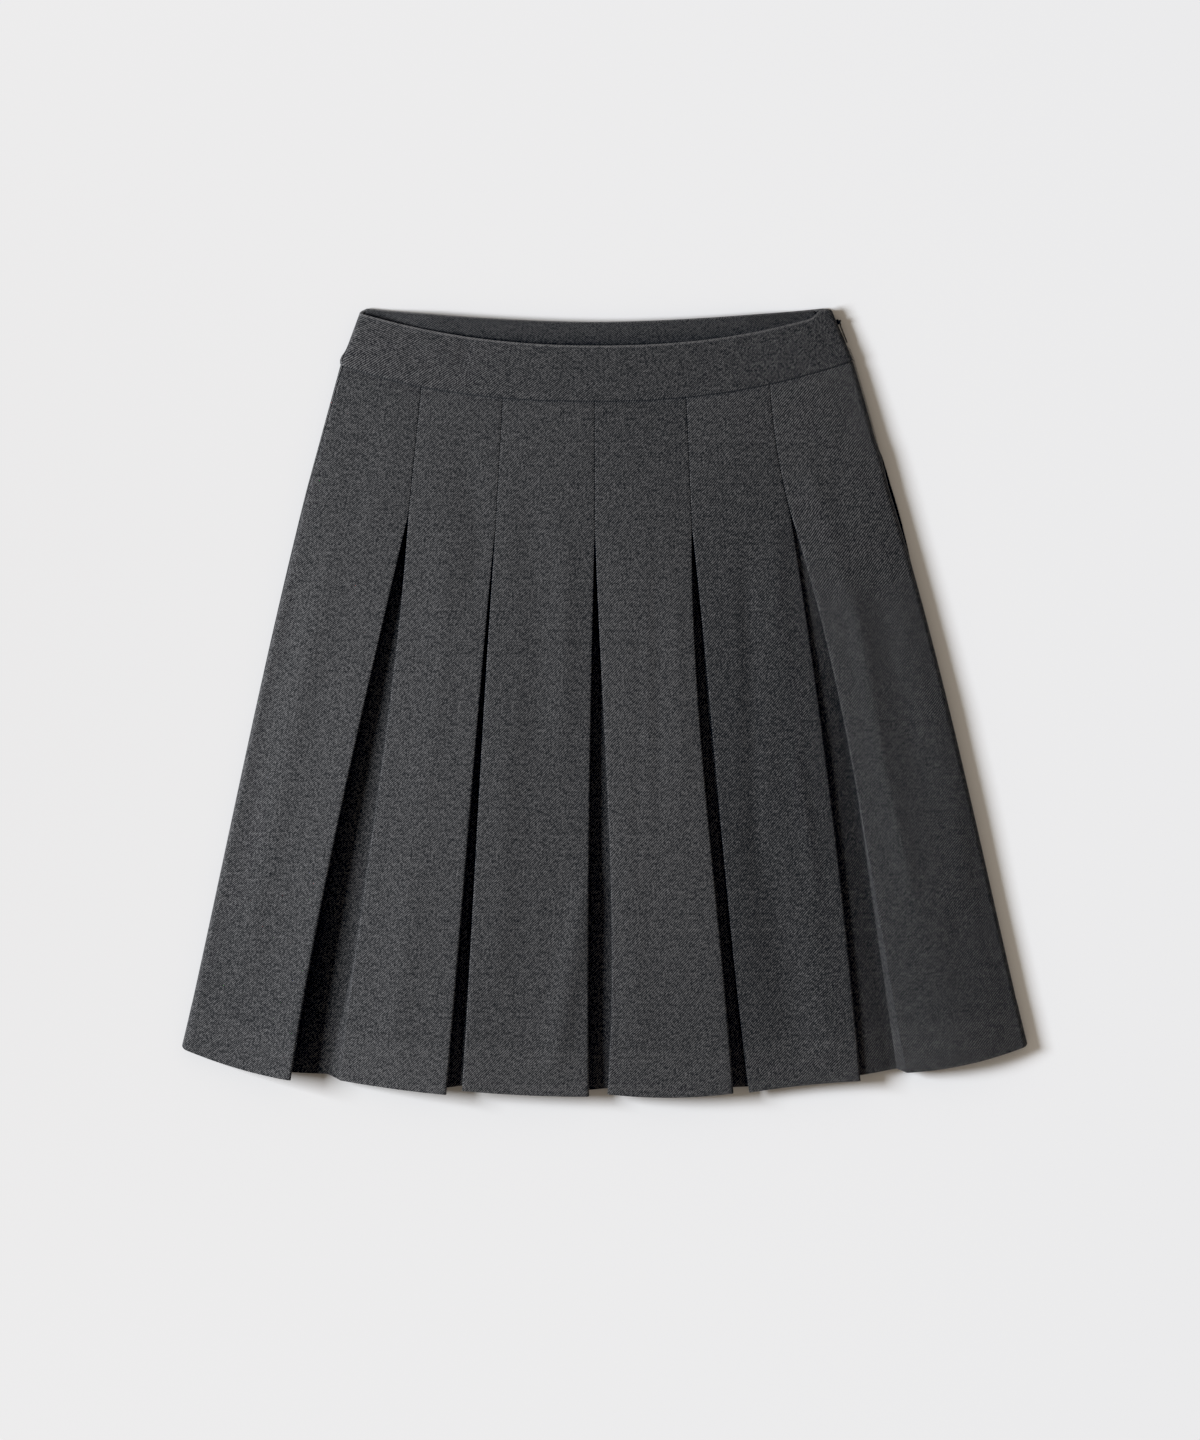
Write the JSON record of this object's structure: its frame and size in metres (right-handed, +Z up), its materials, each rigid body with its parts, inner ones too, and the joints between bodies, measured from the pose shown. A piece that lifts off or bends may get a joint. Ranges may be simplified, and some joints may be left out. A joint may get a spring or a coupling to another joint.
{
  "type": "pleated knee-length skirt laid flat",
  "caption": "Flared knee-length skirt in dark twill, laid flat: shaped waistband, stitched-down inverted pleats let go below the hip and a concealed side zip.",
  "frame": {"origin": "on the surface that the skirt lies on, under the centre of its outline seen from above", "axes": "+X across the skirt towards the side with the zip, +Y from the hem to the waistband, +Z up from the surface, out of the skirt's front"},
  "size_m": [0.6325, 0.5911, 0.0266],
  "materials": {
    "twill": "charcoal melange twill, softly brushed",
    "waistband": "the same twill over stiffening, pressed flat",
    "zip_tape": "black knitted tape with a nylon coil",
    "zip_metal": "black lacquered zinc alloy"
  },
  "bodies": {
    "skirt": {"skirt_front": "twill", "skirt_back": "twill", "waistband_front": "waistband", "waistband_back": "waistband", "waistband_facing": "waistband", "zip_tape": "zip_tape", "zip_slider": "zip_metal"},
    "zip_pull": {"zip_pull": "zip_metal"}
  },
  "joints": [
    {"name": "pull_swing", "type": "hinge", "parent": "skirt", "child": "zip_pull", "pos_m": [0.17625, 0.28435, 0.0045], "axis": [0, 0, 1], "range_deg": [0, 165]}
  ]
}
